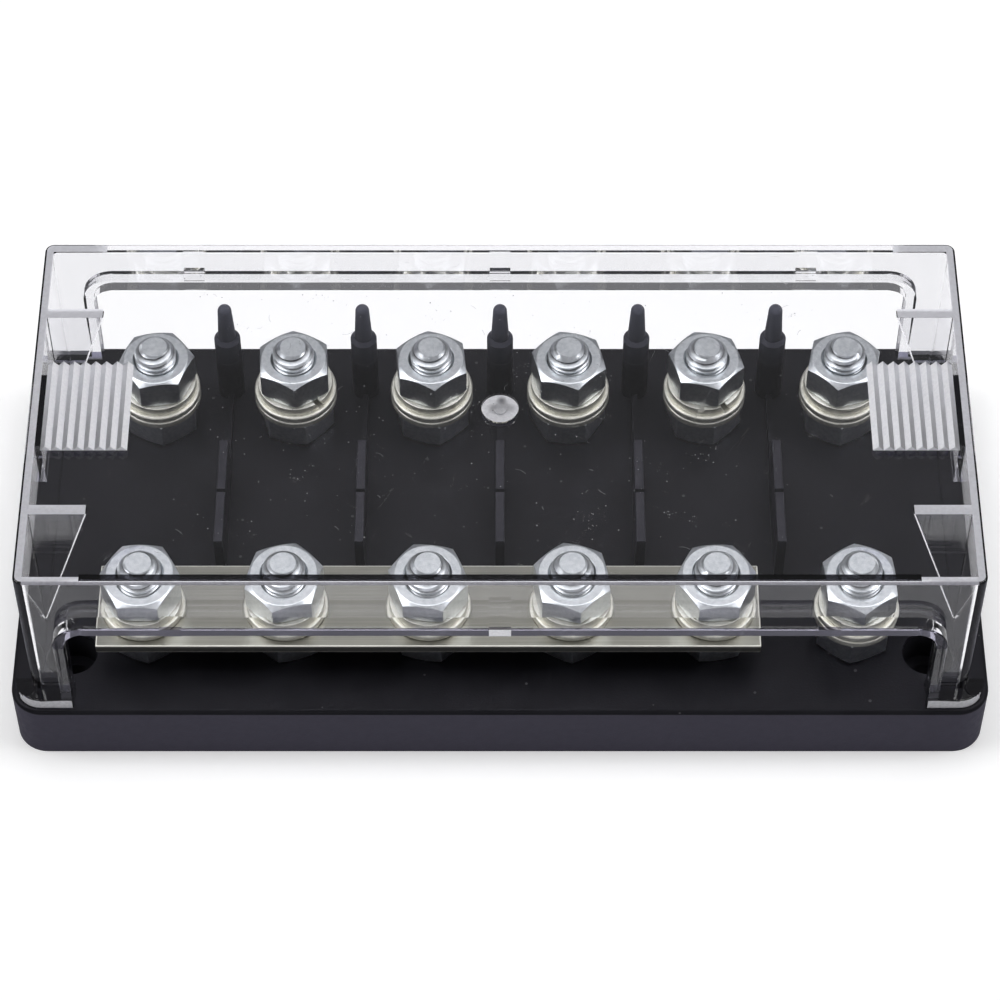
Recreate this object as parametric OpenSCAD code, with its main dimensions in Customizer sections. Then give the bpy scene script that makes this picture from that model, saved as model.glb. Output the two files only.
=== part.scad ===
// Multi-way fuse holder: a moulded base, two rows of M8 studs with their nuts and washers,
// a common bar along the front row and a clear cover that lifts off.
// Millimetres, Z up. The origin is the middle of the base's underside, and the bar side faces -Y.

/* [Stud layout] */
// Distance between neighbouring studs along a row
stud_pitch = 26.65; // [24:0.05:32]
// Distance between the front row and the rear row
row_spacing = 51; // [46:0.5:60]

/* [Base] */
// Length of the base beyond the end studs
base_end = 24.9; // [22:0.1:30]
// Depth of the base beyond each row
base_side = 17.9; // [16.5:0.1:24]
// Height of the base
base_h = 13.5; // [12.5:0.1:15]
// Radius of the base's upright corners
base_corner_r = 6; // [3:0.5:8]
// Rounding along the base's top edge
base_edge_r = 0.8; // [0.4:0.1:1.5]
// Outer wall of the cored underside
base_wall = 3; // [2:0.1:4]
// Plate above the cored underside
base_plate = 4.5; // [3:0.1:6]
// Thickness of the ribs in the cored underside
core_rib = 2; // [1.5:0.1:3]
// Boss round each bolt head
boss_d = 19; // [17.5:0.1:21]

/* [Mounting holes] */
// Hole centre from the end of the base
mount_inset_x = 10.9; // [10.5:0.1:14]
// Hole centre from the front and the back of the base
mount_inset_y = 13.3; // [12:0.1:16]
// Clearance hole for the mounting screw
mount_hole_d = 5.5; // [4.5:0.1:6.5]
// Counterbore for the screw head
mount_bore_d = 9.6; // [8.5:0.1:11]
// Depth of the counterbore
mount_bore_depth = 8; // [4:0.1:9]
// Boss round each mounting hole
mount_boss_d = 15; // [13.5:0.1:17]

/* [Posts and ribs] */
// Post axis behind the rear row
post_back = 7.2; // [6:0.1:9]
// Diameter of the post's lower body
post_d = 5.1; // [4:0.1:6]
// Height of the lower body above the base
post_body_h = 16.8; // [12:0.1:20]
// Chamfer on the lower body's shoulder
post_chamfer = 0.7; // [0.3:0.1:1]
// Pin diameter where it leaves the shoulder
pin_foot_d = 3.5; // [3:0.1:4]
// Pin diameter below its rounded tip
pin_tip_d = 2.7; // [2:0.1:2.9]
// Height of the pin's tip above the base
post_h = 25.8; // [22:0.1:29]
// Thickness of the upright divider between two ways
divider_t = 1.7; // [1.2:0.1:2.5]
// Height of the divider above the base
divider_h = 11; // [6:0.5:13]
// Front end of the divider, from the middle of the base
divider_front = 12.5; // [8:0.5:14]
// Rear end of the divider, from the middle of the base
divider_rear = 11.5; // [8:0.5:14]
// Width of the notch in the divider's top edge
notch_w = 0.8; // [0.5:0.1:2]
// Depth of that notch
notch_depth = 1.2; // [0.5:0.1:3]
// Width of the thin web between the divider and the post
web_w = 1.2; // [0.8:0.1:1.5]
// Height of the thin web
web_h = 1.6; // [0.8:0.1:3]

/* [Studs, nuts and washers] */
// Thread diameter of the studs
stud_d = 8; // [6:0.5:8]
// Length of the bolt under its head
bolt_len = 30; // [28:0.5:34]
// Height of the bolt head
head_h = 5.3; // [4.5:0.1:5.5]
// Depth of the bolt head inside its pocket
head_recess = 0.5; // [0.2:0.1:1]
// Width across the flats of bolt heads and nuts
hex_flats = 13; // [12:0.1:13.5]
// Height of a nut
nut_h = 6.8; // [5:0.1:7]
// Outside diameter of a flat washer
flat_d = 16; // [15:0.1:17]
// Thickness of a flat washer
flat_t = 1.6; // [1:0.1:1.8]
// Outside diameter of a spring washer
spring_d = 14.6; // [13:0.1:15]
// Thickness of a spring washer
spring_t = 2; // [1.5:0.1:2.2]
// Width of the spring washer's cut
spring_cut = 0.9; // [0.5:0.1:1.5]
// Radial clearance between a clamp nut and its stud
nut_clear = 0.05; // [0.02:0.01:0.1]
// Radial clearance of washer, bar and base holes round the studs
hole_clear = 0.2; // [0.1:0.05:0.4]
// Clearance of the hex pockets round the bolt heads, on each flat
pocket_clear = 0.15; // [0.1:0.05:0.3]

/* [Common bar] */
// Ways that the bar joins, counted from the left
bar_ways = 5; // [2:1:6]
// Width of the bar
bar_w = 18; // [16:0.5:20]
// Thickness of the bar
bar_t = 2; // [1.5:0.1:3]
// Length of the bar beyond its end studs
bar_end = 8.6; // [8:0.1:10]

/* [Cover] */
// Height of the cover above the base
cover_h = 36.7; // [34:0.1:42]
// Wall and top thickness
cover_wall = 1.5; // [1.3:0.1:3]
// Base left showing beside the cover at each end
cover_inset_x = 4.3; // [3.6:0.1:5.5]
// Base left showing in front of the cover and behind it
cover_inset_y = 3.6; // [3:0.1:4.5]
// Radius of the cover's upright corners
cover_corner_r = 1.7; // [1.4:0.1:5]
// Rounding along the cover's top edge
cover_edge_r = 0.5; // [0.3:0.1:1.2]
// Wall left beside each cable opening
opening_side = 7.9; // [6:0.1:10]
// Height of the cable openings
opening_h = 23.9; // [20:0.1:26]
// Radius of the cable openings' upper corners
opening_r = 4; // [2:0.1:6]
// Thickness of the lip round a cable opening
lip_t = 2.1; // [1.5:0.1:3]
// How far the lip stands out from the wall
lip_out = 2.6; // [2:0.1:3]
// Width of the small pads on the lip
lip_pad_w = 4; // [2:0.1:6]
// Height of those pads above the lip
lip_pad_h = 0.35; // [0.2:0.05:0.8]
// Pads from the middle of the lip
lip_pad_x = 59.5; // [40:0.5:66]
// Thickness of the corner feet
foot_t = 2.4; // [1.5:0.1:3]
// Depth of the corner feet
foot_depth = 5; // [4:0.1:5]
// Feet set back from the ends of the base
foot_setback = 1.2; // [0.5:0.1:2]
// Round mark on each foot
foot_mark_d = 3; // [2:0.1:3.5]
// Height of that mark
foot_mark_h = 0.3; // [0.2:0.05:0.6]

/* [Cover inside and grip] */
// Thickness of the corner gussets
gusset_t = 1.7; // [1.2:0.1:3]
// Gusset's reach along the top plate
gusset_reach = 10.7; // [6:0.1:12]
// Gusset's lower point above the base
gusset_low = 2.5; // [1:0.1:10]
// Gussets from the middle of the cover
gusset_y = 23; // [18:0.5:27]
// Width of the thickened wall behind each grip
grip_wall_w = 16.6; // [10:0.1:20]
// Extra thickness of that wall
grip_wall_t = 1.2; // [0.6:0.1:2]
// Height of the thickened wall
grip_wall_h = 11; // [6:0.1:16]
// Ribs on each grip
grip_ribs = 8; // [4:1:10]
// Distance between grip ribs
grip_pitch = 2; // [1.5:0.1:2.4]
// Height of the grip ribs
grip_h = 1.2; // [0.6:0.1:1.6]
// Length of the grip ribs
grip_len = 20; // [12:0.5:26]
// Grip set in from the end of the cover
grip_inset = 2.8; // [2:0.1:5]
// Moulding gate in the middle of the top
gate_d = 6.9; // [5:0.1:9]
// Depth of the gate's dish
gate_depth = 0.7; // [0.3:0.1:1]
// Stub left in the dish
gate_stub_d = 2.4; // [1:0.1:3]

/* [Hidden] */
$fn = 64;
ways = 6;
sink = 0.4;
cut = 1;
hex_chamfer = 0.95;
thread_chamfer = 1;
nut_countersink = 0.4;
spring_slant = 25;
rows = ["rear", "front"];
layers = ["lower", "upper"];

// Corners of the hexagons as they happen to stand, in degrees from the front, left to right
clamp_turn = [[-22, 3, 6, 14, 17, -12], [9, -6, 4, 10, 12, 11]];
seat_turn = [[4, 15, 12, 28, 15, 1], [5, -12, 18, 2, -20, -7]];
spring_turn = [[140, 20, 100, 160, 20, 110], [150, 60, 120, 80, 130, 40]];

base_w = (ways - 1) * stud_pitch + 2 * base_end;
base_d = row_spacing + 2 * base_side;
cover_w = base_w - 2 * cover_inset_x;
cover_d = base_d - 2 * cover_inset_y;
cover_in_w = cover_w - 2 * cover_wall;
cover_in_d = cover_d - 2 * cover_wall;
cover_top = base_h + cover_h;
cover_in_top = cover_top - cover_wall;
opening_half = cover_w / 2 - opening_side;
lip_face = cover_d / 2 + lip_out;
mount_x = base_w / 2 - mount_inset_x;
mount_y = base_d / 2 - mount_inset_y;
hex_r = hex_flats / 2 / cos(30);
bolt_seat = head_recess + head_h;
stud_hole_d = stud_d + 2 * hole_clear;
seat_top = base_h + nut_h;
post_y = row_spacing / 2 + post_back;

function stud_x(i) = (i - (ways - 1) / 2) * stud_pitch;
function stud_y(row) = row == 0 ? row_spacing / 2 : -row_spacing / 2;
function on_bar(row, i) = row == 1 && i < bar_ways;
function flats_at(row, i) = on_bar(row, i) ? 1 : 2;
function flats_z(row, i) = seat_top + (on_bar(row, i) ? bar_t : 0);
function spring_z(row, i) = flats_z(row, i) + flats_at(row, i) * flat_t;
function clamp_z(row, i) = spring_z(row, i) + spring_t;
function names(stem) = [for (row = [0, 1]) for (i = [1:ways]) str(stem, "_", rows[row], "_", i)];

// Rectangle with round corners, about the origin
module round_rect(w, d, r) {
    square([w - 2 * r, d], center = true);
    square([w, d - 2 * r], center = true);
    for (x = [-1, 1]) for (y = [-1, 1])
        translate([x * (w / 2 - r), y * (d / 2 - r)]) circle(r);
}

// Upright section of a plate whose top edges are rounded
module edge_section(w, h, e) {
    translate([-w / 2, 0]) square([w, h - e]);
    translate([e - w / 2, 0]) square([w - 2 * e, h]);
    for (x = [-1, 1]) translate([x * (w / 2 - e), h - e]) circle(e);
}

// Plate with round upright corners and a rounded top edge
module soft_plate(w, d, h, r, e) {
    rotate([90, 0, 90]) linear_extrude(w - 2 * r, center = true) edge_section(d, h, e);
    rotate([90, 0, 0]) linear_extrude(d - 2 * r, center = true) edge_section(w, h, e);
    for (x = [-1, 1]) for (y = [-1, 1])
        translate([x * (w / 2 - r), y * (d / 2 - r), 0]) rotate_extrude() {
            square([r, h - e]);
            square([r - e, h]);
            translate([r - e, h - e]) circle(e);
        }
}

// Places its children at every stud
module at_studs() {
    for (row = [0, 1]) for (i = [0:ways - 1])
        translate([stud_x(i), stud_y(row), 0]) children();
}

// Places its children at the four mounting holes
module at_mounts() {
    for (x = [-1, 1]) for (y = [-1, 1]) translate([x * mount_x, y * mount_y, 0]) children();
}

// Hexagon with one corner to the front, turned by the given angle
module hexagon(h, flats, turn) {
    rotate(30 + turn) cylinder(h = h, r = flats / 2 / cos(30), $fn = 6);
}

// Turned body that takes the corners off a hexagon, at the bottom, the top or both
module corner_cutter(h, bottom, top) {
    inner = hex_chamfer * hex_flats / 2;
    outer = hex_r + cut;
    drop = (outer - inner) * tan(30);
    rotate_extrude() polygon([
        [0, 0], [bottom ? inner : outer, 0], [outer, bottom ? drop : 0],
        [outer, top ? h - drop : h], [top ? inner : outer, h], [0, h]]);
}

// Plain hexagon nut with both faces chamfered
module nut(turn) {
    bore = stud_d / 2 + nut_clear;
    difference() {
        intersection() {
            hexagon(nut_h, hex_flats, turn);
            corner_cutter(nut_h, true, true);
        }
        translate([0, 0, -cut]) cylinder(h = nut_h + 2 * cut, r = bore);
        cylinder(h = nut_countersink, r1 = bore + nut_countersink, r2 = bore);
        translate([0, 0, nut_h - nut_countersink])
            cylinder(h = nut_countersink, r1 = bore, r2 = bore + nut_countersink);
    }
}

// Plan of the cored underside: what is taken away between wall, ribs and bosses
module core_plan() {
    difference() {
        round_rect(base_w - 2 * base_wall, base_d - 2 * base_wall, base_corner_r - base_wall / 2);
        square([base_w, core_rib], center = true);
        for (i = [1 - ways:ways - 1])
            translate([i * stud_pitch / 2, 0]) square([core_rib, base_d], center = true);
        for (x = [-1, 1]) translate([x * mount_x, 0]) square([core_rib, base_d], center = true);
        at_studs() circle(d = boss_d);
        at_mounts() circle(d = mount_boss_d);
    }
}

// Round post with a chamfered shoulder, a tapered pin and a domed tip, as one turning
module post() {
    body_r = post_d / 2;
    tip_r = pin_tip_d / 2;
    rotate_extrude() {
        polygon([
            [0, -sink], [body_r, -sink], [body_r, post_body_h - post_chamfer],
            [body_r - post_chamfer, post_body_h], [pin_foot_d / 2, post_body_h],
            [tip_r, post_h - tip_r], [0, post_h - tip_r]]);
        intersection() {
            translate([0, post_h - tip_r]) circle(tip_r);
            translate([0, post_h - tip_r - sink]) square([tip_r, tip_r + sink]);
        }
    }
}

// Upright divider with a notch in its top edge, and the low web that runs from it back to the post
module divider() {
    middle = (divider_rear - divider_front) / 2;
    difference() {
        translate([-divider_t / 2, -divider_front, -sink])
            cube([divider_t, divider_front + divider_rear, divider_h + sink]);
        translate([-divider_t, middle - notch_w / 2, divider_h - notch_depth])
            cube([2 * divider_t, notch_w, notch_depth + cut]);
    }
    translate([-web_w / 2, divider_rear - sink, -sink])
        cube([web_w, post_y - divider_rear + sink, web_h + sink]);
}

module base() {
    color("#1d1d20") difference() {
        union() {
            difference() {
                soft_plate(base_w, base_d, base_h, base_corner_r, base_edge_r);
                translate([0, 0, -cut]) linear_extrude(base_h - base_plate + cut) core_plan();
            }
            for (i = [1:ways - 1]) translate([(i - ways / 2) * stud_pitch, 0, base_h]) {
                translate([0, post_y, 0]) post();
                divider();
            }
        }
        at_studs() {
            translate([0, 0, -cut]) cylinder(h = base_h + 2 * cut, d = stud_hole_d);
            translate([0, 0, -cut]) hexagon(bolt_seat + cut, hex_flats + 2 * pocket_clear, 0);
        }
        at_mounts() {
            translate([0, 0, -cut]) cylinder(h = base_h + 2 * cut, d = mount_hole_d);
            translate([0, 0, base_h - mount_bore_depth])
                cylinder(h = mount_bore_depth + cut, d = mount_bore_d);
        }
    }
}

// Upright arch of a cable opening, standing on the base
module arch(half, h, r, below) {
    translate([-half, -below]) square([2 * half, h - r + below]);
    translate([r - half, -below]) square([2 * half - 2 * r, h + below]);
    for (x = [-1, 1]) translate([x * (half - r), h - r]) circle(r);
}

// Stands a plan drawn in X and Z up in the front wall, from face_y back over the given depth
module in_front(face_y, depth) {
    translate([0, depth - face_y, base_h]) rotate([90, 0, 0]) linear_extrude(depth) children();
}

// Lip round the front opening with its three pads, and the two front feet
module front_trim() {
    lip_depth = lip_face - cover_d / 2 + cover_wall;
    in_front(lip_face, lip_depth) difference() {
        arch(opening_half + lip_t, opening_h + lip_t, opening_r + lip_t, 0);
        arch(opening_half, opening_h, opening_r, cut);
    }
    for (x = [-lip_pad_x, 0, lip_pad_x])
        translate([x - lip_pad_w / 2, -lip_face - lip_pad_h, base_h + opening_h + sink])
            cube([lip_pad_w, lip_out + lip_pad_h + sink, lip_t + lip_pad_h - sink]);
    translate([0, 0, base_h]) {
        linear_extrude(foot_t) intersection() {
            round_rect(base_w - 2 * foot_setback, 2 * lip_face, base_corner_r - foot_setback);
            for (x = [-1, 1]) translate([x * (opening_half + base_w / 4), -lip_face + foot_depth / 2])
                square([base_w / 2, foot_depth], center = true);
        }
        for (x = [-1, 1]) translate([x * (cover_w / 2 + foot_mark_d / 3), -cover_d / 2, foot_t - sink])
            cylinder(h = sink + foot_mark_h, d = foot_mark_d);
    }
}

// Triangular gusset between the top plate and the end wall, on the right-hand side
module gusset() {
    wall_x = cover_in_w / 2;
    translate([0, gusset_t / 2, 0]) rotate([90, 0, 0]) linear_extrude(gusset_t) polygon([
        [wall_x - gusset_reach, cover_in_top], [wall_x - gusset_reach, cover_in_top + sink],
        [wall_x + sink, cover_in_top + sink], [wall_x + sink, base_h + gusset_low],
        [wall_x, base_h + gusset_low]]);
}

// Ribbed grip on the top plate and the thickened wall under it, on the right-hand side
module grip() {
    outer_x = cover_w / 2 - grip_inset;
    for (k = [0:grip_ribs - 1])
        translate([outer_x - (k + 0.5) * grip_pitch, grip_len / 2, cover_top])
            rotate([90, 0, 0]) linear_extrude(grip_len) polygon([
                [-grip_pitch / 2, -sink], [grip_pitch / 2, -sink], [grip_pitch / 2, 0],
                [0, grip_h], [-grip_pitch / 2, 0]]);
    translate([cover_in_w / 2 - grip_wall_t, -grip_wall_w / 2, cover_in_top - grip_wall_h])
        cube([grip_wall_t + sink, grip_wall_w, grip_wall_h + sink]);
}

module cover() {
    color("#dcdcf0", 0.35) difference() {
        union() {
            difference() {
                translate([0, 0, base_h]) soft_plate(cover_w, cover_d, cover_h, cover_corner_r, cover_edge_r);
                translate([0, 0, base_h - cut]) linear_extrude(cover_h - cover_wall + cut)
                    round_rect(cover_in_w, cover_in_d, cover_corner_r / 2);
                for (y = [0, 1]) mirror([0, y, 0])
                    in_front(lip_face, lip_out + 2 * cover_wall)
                        arch(opening_half, opening_h, opening_r, cut);
            }
            for (y = [0, 1]) mirror([0, y, 0]) front_trim();
            for (x = [0, 1]) mirror([x, 0, 0]) {
                for (y = [-gusset_y, gusset_y]) translate([0, y, 0]) gusset();
                grip();
            }
        }
        translate([0, 0, cover_top - gate_depth]) difference() {
            cylinder(h = gate_depth + cut, d = gate_d);
            translate([0, 0, -cut]) cylinder(h = cut + gate_depth / 2, d = gate_stub_d);
        }
    }
}

module bus_bar() {
    length = (bar_ways - 1) * stud_pitch + 2 * bar_end;
    color("#a9a695") difference() {
        translate([stud_x(0) - bar_end, stud_y(1) - bar_w / 2, seat_top]) cube([length, bar_w, bar_t]);
        for (i = [0:bar_ways - 1]) translate([stud_x(i), stud_y(1), seat_top - cut])
            cylinder(h = bar_t + 2 * cut, d = stud_hole_d);
    }
}

// Hexagon-headed bolt that stands up through the base as a stud
module stud_bolt(row, i) {
    color("#b9c0c6") translate([stud_x(i), stud_y(row), 0]) {
        translate([0, 0, head_recess]) intersection() {
            hexagon(head_h, hex_flats, 0);
            corner_cutter(head_h, true, false);
        }
        translate([0, 0, bolt_seat]) rotate_extrude() polygon([
            [0, -sink], [stud_d / 2, -sink], [stud_d / 2, bolt_len - thread_chamfer],
            [stud_d / 2 - thread_chamfer, bolt_len], [0, bolt_len]]);
    }
}

// Nut that lies on the base and carries the bar, the fuse or the washers
module seat_nut(row, i) {
    color("#8e959b") translate([stud_x(i), stud_y(row), base_h]) nut(seat_turn[row][i]);
}

// Nut that clamps a fuse or a cable lug
module clamp_nut(row, i) {
    color("#c4cbd0") translate([stud_x(i), stud_y(row), clamp_z(row, i)]) nut(clamp_turn[row][i]);
}

// Flat washers of one row and one layer: the lower one at every stud, the upper one where no bar lies
module flat_washers(row, layer) {
    color("#cfcdbf") for (i = [0:ways - 1]) if (layer < flats_at(row, i))
        translate([stud_x(i), stud_y(row), flats_z(row, i) + layer * flat_t]) difference() {
            cylinder(h = flat_t, d = flat_d);
            translate([0, 0, -cut]) cylinder(h = flat_t + 2 * cut, d = stud_hole_d);
        }
}

// Split ring, closed flat under its nut, with a slanting cut
module spring_washer(row, i) {
    color("#c9c6b4") translate([stud_x(i), stud_y(row), spring_z(row, i)]) difference() {
        cylinder(h = spring_t, d = spring_d);
        translate([0, 0, -cut]) cylinder(h = spring_t + 2 * cut, d = stud_hole_d);
        rotate(spring_turn[row][i]) translate([0, -spring_cut / 2, spring_t / 2]) rotate([spring_slant, 0, 0])
            translate([0, 0, -2 * spring_t]) cube([spring_d, spring_cut, 4 * spring_t]);
    }
}

base();
cover();
bus_bar();
for (row = [0, 1]) {
    for (layer = [0, 1])
        flat_washers(row, layer);
    for (i = [0:ways - 1]) {
        tag = str("_", rows[row], "_", i + 1);
        stud_bolt(row, i);
        seat_nut(row, i);
        spring_washer(row, i);
        clamp_nut(row, i);
    }
}
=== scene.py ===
# %% [markdown]
# # A multi-way fuse holder, dressed in Blender
# The part arrives from CAD as a frame of named nodes: a black base, a clear cover, a plated bar and
# twelve stacks of M8 hardware. Every node already sits in its place, in metres, so nothing is fitted
# here. This lesson gives each piece the edges, threads and surfaces that the real one shows.

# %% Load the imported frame
import math
import random

import bmesh
import bpy
from mathutils import Matrix, Vector


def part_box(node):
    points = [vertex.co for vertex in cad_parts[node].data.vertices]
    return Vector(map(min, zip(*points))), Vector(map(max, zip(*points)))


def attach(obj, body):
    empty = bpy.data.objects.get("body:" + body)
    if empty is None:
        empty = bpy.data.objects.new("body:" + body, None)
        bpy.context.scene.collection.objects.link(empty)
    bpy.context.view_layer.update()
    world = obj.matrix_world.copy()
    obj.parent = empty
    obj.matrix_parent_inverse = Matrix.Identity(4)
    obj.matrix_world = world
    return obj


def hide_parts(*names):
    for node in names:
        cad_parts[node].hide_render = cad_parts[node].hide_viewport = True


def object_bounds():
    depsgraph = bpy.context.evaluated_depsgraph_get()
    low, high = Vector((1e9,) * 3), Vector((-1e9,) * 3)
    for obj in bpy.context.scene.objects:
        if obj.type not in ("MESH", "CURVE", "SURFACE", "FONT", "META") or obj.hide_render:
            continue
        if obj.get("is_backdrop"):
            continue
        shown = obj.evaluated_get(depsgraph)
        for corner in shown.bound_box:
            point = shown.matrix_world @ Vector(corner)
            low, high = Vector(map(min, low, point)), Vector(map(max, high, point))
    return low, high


MM = 0.001
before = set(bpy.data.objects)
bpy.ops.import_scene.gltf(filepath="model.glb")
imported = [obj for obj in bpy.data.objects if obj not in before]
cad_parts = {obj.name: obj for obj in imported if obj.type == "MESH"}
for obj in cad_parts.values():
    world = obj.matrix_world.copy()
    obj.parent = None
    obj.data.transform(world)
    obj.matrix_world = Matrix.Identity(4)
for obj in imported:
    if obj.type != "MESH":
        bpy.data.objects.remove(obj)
cad_low, cad_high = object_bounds()
print("CAD box in mm:", [round(v / MM, 2) for v in cad_high - cad_low])

# %% [markdown]
# ## The camera
# The photograph looks down on the bar side with a long lens. A camera can be placed by eye, or worked
# out from edges whose real sizes are known. Here the edges of base and cover gave the numbers: about
# 54 degrees above the floor and 666 mm away, aimed at the middle of the holder.

# %% Place the camera
elevation = math.radians(53.61)
distance = 665.8 * MM
aim = Vector((0, 0, 21.31 * MM))
away = Vector((0, -math.cos(elevation), math.sin(elevation)))
lens = bpy.data.cameras.new("photo_camera")
lens.lens = 124.92
lens.sensor_width = 36
camera = bpy.data.objects.new("photo_camera", lens)
camera.location = aim + distance * away
camera.rotation_euler = (math.pi / 2 - elevation, 0, 0)
bpy.context.scene.collection.objects.link(camera)
bpy.context.scene.camera = camera
print("camera at", [round(v, 4) for v in camera.location])

# %% [markdown]
# ## Building materials from nodes
# A material is a tree of nodes around one Principled shader. It could be wired by hand, node by node,
# but the same few steps come up in every finish: a new node, a sum, a mix of two colours. Four short
# functions keep the cells below about the surface and not about the wiring.

# %% Helpers for node trees
mix_first, mix_second, mix_result = 6, 7, 2


def new_finish(name):
    """A material with its node tree and its Principled shader."""
    finish = bpy.data.materials.new(name)
    finish.use_nodes = True
    return finish, finish.node_tree, finish.node_tree.nodes["Principled BSDF"]


def add(tree, kind, **settings):
    """A new node in a tree, with some of its settings."""
    made = tree.nodes.new(kind)
    for key, value in settings.items():
        setattr(made, key, value)
    return made


def calc(tree, operation, first, second=0):
    """The output of a Math node whose two inputs are sockets or plain numbers."""
    made = add(tree, "ShaderNodeMath", operation=operation)
    for socket, value in zip(made.inputs, (first, second)):
        if isinstance(value, (int, float)):
            socket.default_value = value
        else:
            tree.links.new(value, socket)
    return made.outputs[0]


def blend_colour(tree, factor, first, second):
    """Mixes two plain colours, or a socket and a colour, by a factor socket."""
    made = add(tree, "ShaderNodeMix", data_type="RGBA")
    tree.links.new(factor, made.inputs["Factor"])
    for socket, value in ((made.inputs[mix_first], first), (made.inputs[mix_second], second)):
        if isinstance(value, tuple):
            socket.default_value = (*value, 1)
        else:
            tree.links.new(value, socket)
    return made.outputs[mix_result]


# %% [markdown]
# ## Floor and light
# Catalogue pictures of shiny things are lit by large soft boxes round a white sweep: the boxes make
# the broad highlights on nuts and threads, and the white surround shows through the clear cover.
# A plain floor, an even pale world and four area lamps do the same job here. The photograph was cut
# out on white afterwards: the nuts and the front wall mirror a darker table, so the floor is white to
# look at and grey in mirrors. Light bent by the cover counts as mirrored too, so it is taken off again.

# %% Lay the floor
floor_reach, floor_gap = 4, 0.02 * MM
mirrored_grey = (0.24, 0.24, 0.27)
studio_white, tree, shader = new_finish("studio_white")
shader.inputs["Roughness"].default_value = 0.8
shader.inputs["Emission Strength"].default_value = 0.22
rays = add(tree, "ShaderNodeLightPath").outputs
in_mirror = calc(tree, "SUBTRACT", rays["Is Glossy Ray"], rays["Is Transmission Ray"])
in_mirror = calc(tree, "MAXIMUM", in_mirror, 0)
for title, seen in (("Base Color", (0.9, 0.9, 0.9)), ("Emission Color", (1, 1, 1))):
    tree.links.new(blend_colour(tree, in_mirror, seen, mirrored_grey), shader.inputs[title])

floor_shape = bmesh.new()
bmesh.ops.create_grid(floor_shape, x_segments=2, y_segments=2, size=floor_reach)
floor_mesh = bpy.data.meshes.new("studio_floor")
floor_shape.to_mesh(floor_mesh)
floor_shape.free()
floor_mesh.transform(Matrix.Translation((0, 0, -floor_gap)))
floor_mesh.materials.append(studio_white)
floor = bpy.data.objects.new("studio_floor", floor_mesh)
bpy.context.scene.collection.objects.link(floor)
floor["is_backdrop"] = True

# %% Hang the soft boxes
bpy.context.scene.view_settings.view_transform = "Standard"
world = bpy.data.worlds.new("studio_air")
bpy.context.scene.world = world
world.use_nodes = True
air = world.node_tree.nodes["Background"]
air.inputs["Color"].default_value = (0.97, 0.97, 1, 1)
air.inputs["Strength"].default_value = 0.2


def soft_box(name, place, wide, high, watts):
    """Hangs a rectangular lamp that faces the holder; its place and size are in metres."""
    lamp = bpy.data.lights.new(name, "AREA")
    lamp.shape, lamp.size, lamp.size_y, lamp.energy = "RECTANGLE", wide, high, watts
    box = bpy.data.objects.new(name, lamp)
    box.location = place
    box.rotation_euler = (aim - Vector(place)).to_track_quat("-Z", "Y").to_euler()
    bpy.context.scene.collection.objects.link(box)


soft_box("top_box", (0, 0.2, 1.1), wide=1.2, high=0.8, watts=5.5)
soft_box("left_box", (-0.8, -0.05, 0.85), wide=0.5, high=0.8, watts=4)
soft_box("right_box", (0.8, -0.05, 0.85), wide=0.5, high=0.8, watts=4)
soft_box("front_box", (0, -1.1, 0.35), wide=1.2, high=0.3, watts=1.2)

# %% [markdown]
# ## Shared surface effects
# Several finishes need the same small irregularities: slow changes of gloss, fine brushing, tiny
# specks and hairline scratches. Each could be drawn again in every material, but one node group per
# effect, with named inputs, is built once and set differently each time. All of them read Object
# coordinates, so one unit is one metre and a scale of 500 gives marks of about 2 mm.

# %% Helpers for node groups
def effect_group(name, inputs, output):
    """An empty group with float inputs and one float output, and the nodes at its two ends."""
    group = bpy.data.node_groups.new(name, "ShaderNodeTree")
    for title, value in inputs.items():
        socket = group.interface.new_socket(title, in_out="INPUT", socket_type="NodeSocketFloat")
        socket.default_value = value
    group.interface.new_socket(output, in_out="OUTPUT", socket_type="NodeSocketFloat")
    return group, group.nodes.new("NodeGroupInput"), group.nodes.new("NodeGroupOutput")


def wire(tree, *pairs):
    """Links sockets in pairs, each from an output to an input."""
    for source, target in pairs:
        tree.links.new(source, target)


# %% Slow mottling
mottle, ends_in, ends_out = effect_group("mottle", {"Scale": 300, "Low": 0, "High": 1}, "Value")
place = add(mottle, "ShaderNodeTexCoord")
cloud = add(mottle, "ShaderNodeTexNoise")
cloud.inputs["Detail"].default_value = 4
spread = add(mottle, "ShaderNodeMapRange")
spread.inputs["From Min"].default_value = 0.3
spread.inputs["From Max"].default_value = 0.7
wire(mottle,
     (place.outputs["Object"], cloud.inputs["Vector"]),
     (ends_in.outputs["Scale"], cloud.inputs["Scale"]),
     (cloud.outputs["Fac"], spread.inputs["Value"]),
     (ends_in.outputs["Low"], spread.inputs["To Min"]),
     (ends_in.outputs["High"], spread.inputs["To Max"]),
     (spread.outputs["Result"], ends_out.inputs["Value"]))

# %% Brushing along the length
brushing, ends_in, ends_out = effect_group("brushing", {"Scale": 3000, "Stretch": 0.01}, "Value")
place = add(brushing, "ShaderNodeTexCoord")
squeeze = add(brushing, "ShaderNodeCombineXYZ")
squeeze.inputs["Y"].default_value = 1
squeeze.inputs["Z"].default_value = 1
squeezed = add(brushing, "ShaderNodeVectorMath", operation="MULTIPLY")
streak = add(brushing, "ShaderNodeTexNoise")
streak.inputs["Detail"].default_value = 3
wire(brushing,
     (ends_in.outputs["Stretch"], squeeze.inputs["X"]),
     (place.outputs["Object"], squeezed.inputs[0]),
     (squeeze.outputs["Vector"], squeezed.inputs[1]),
     (squeezed.outputs["Vector"], streak.inputs["Vector"]),
     (ends_in.outputs["Scale"], streak.inputs["Scale"]),
     (streak.outputs["Fac"], ends_out.inputs["Value"]))

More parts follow.
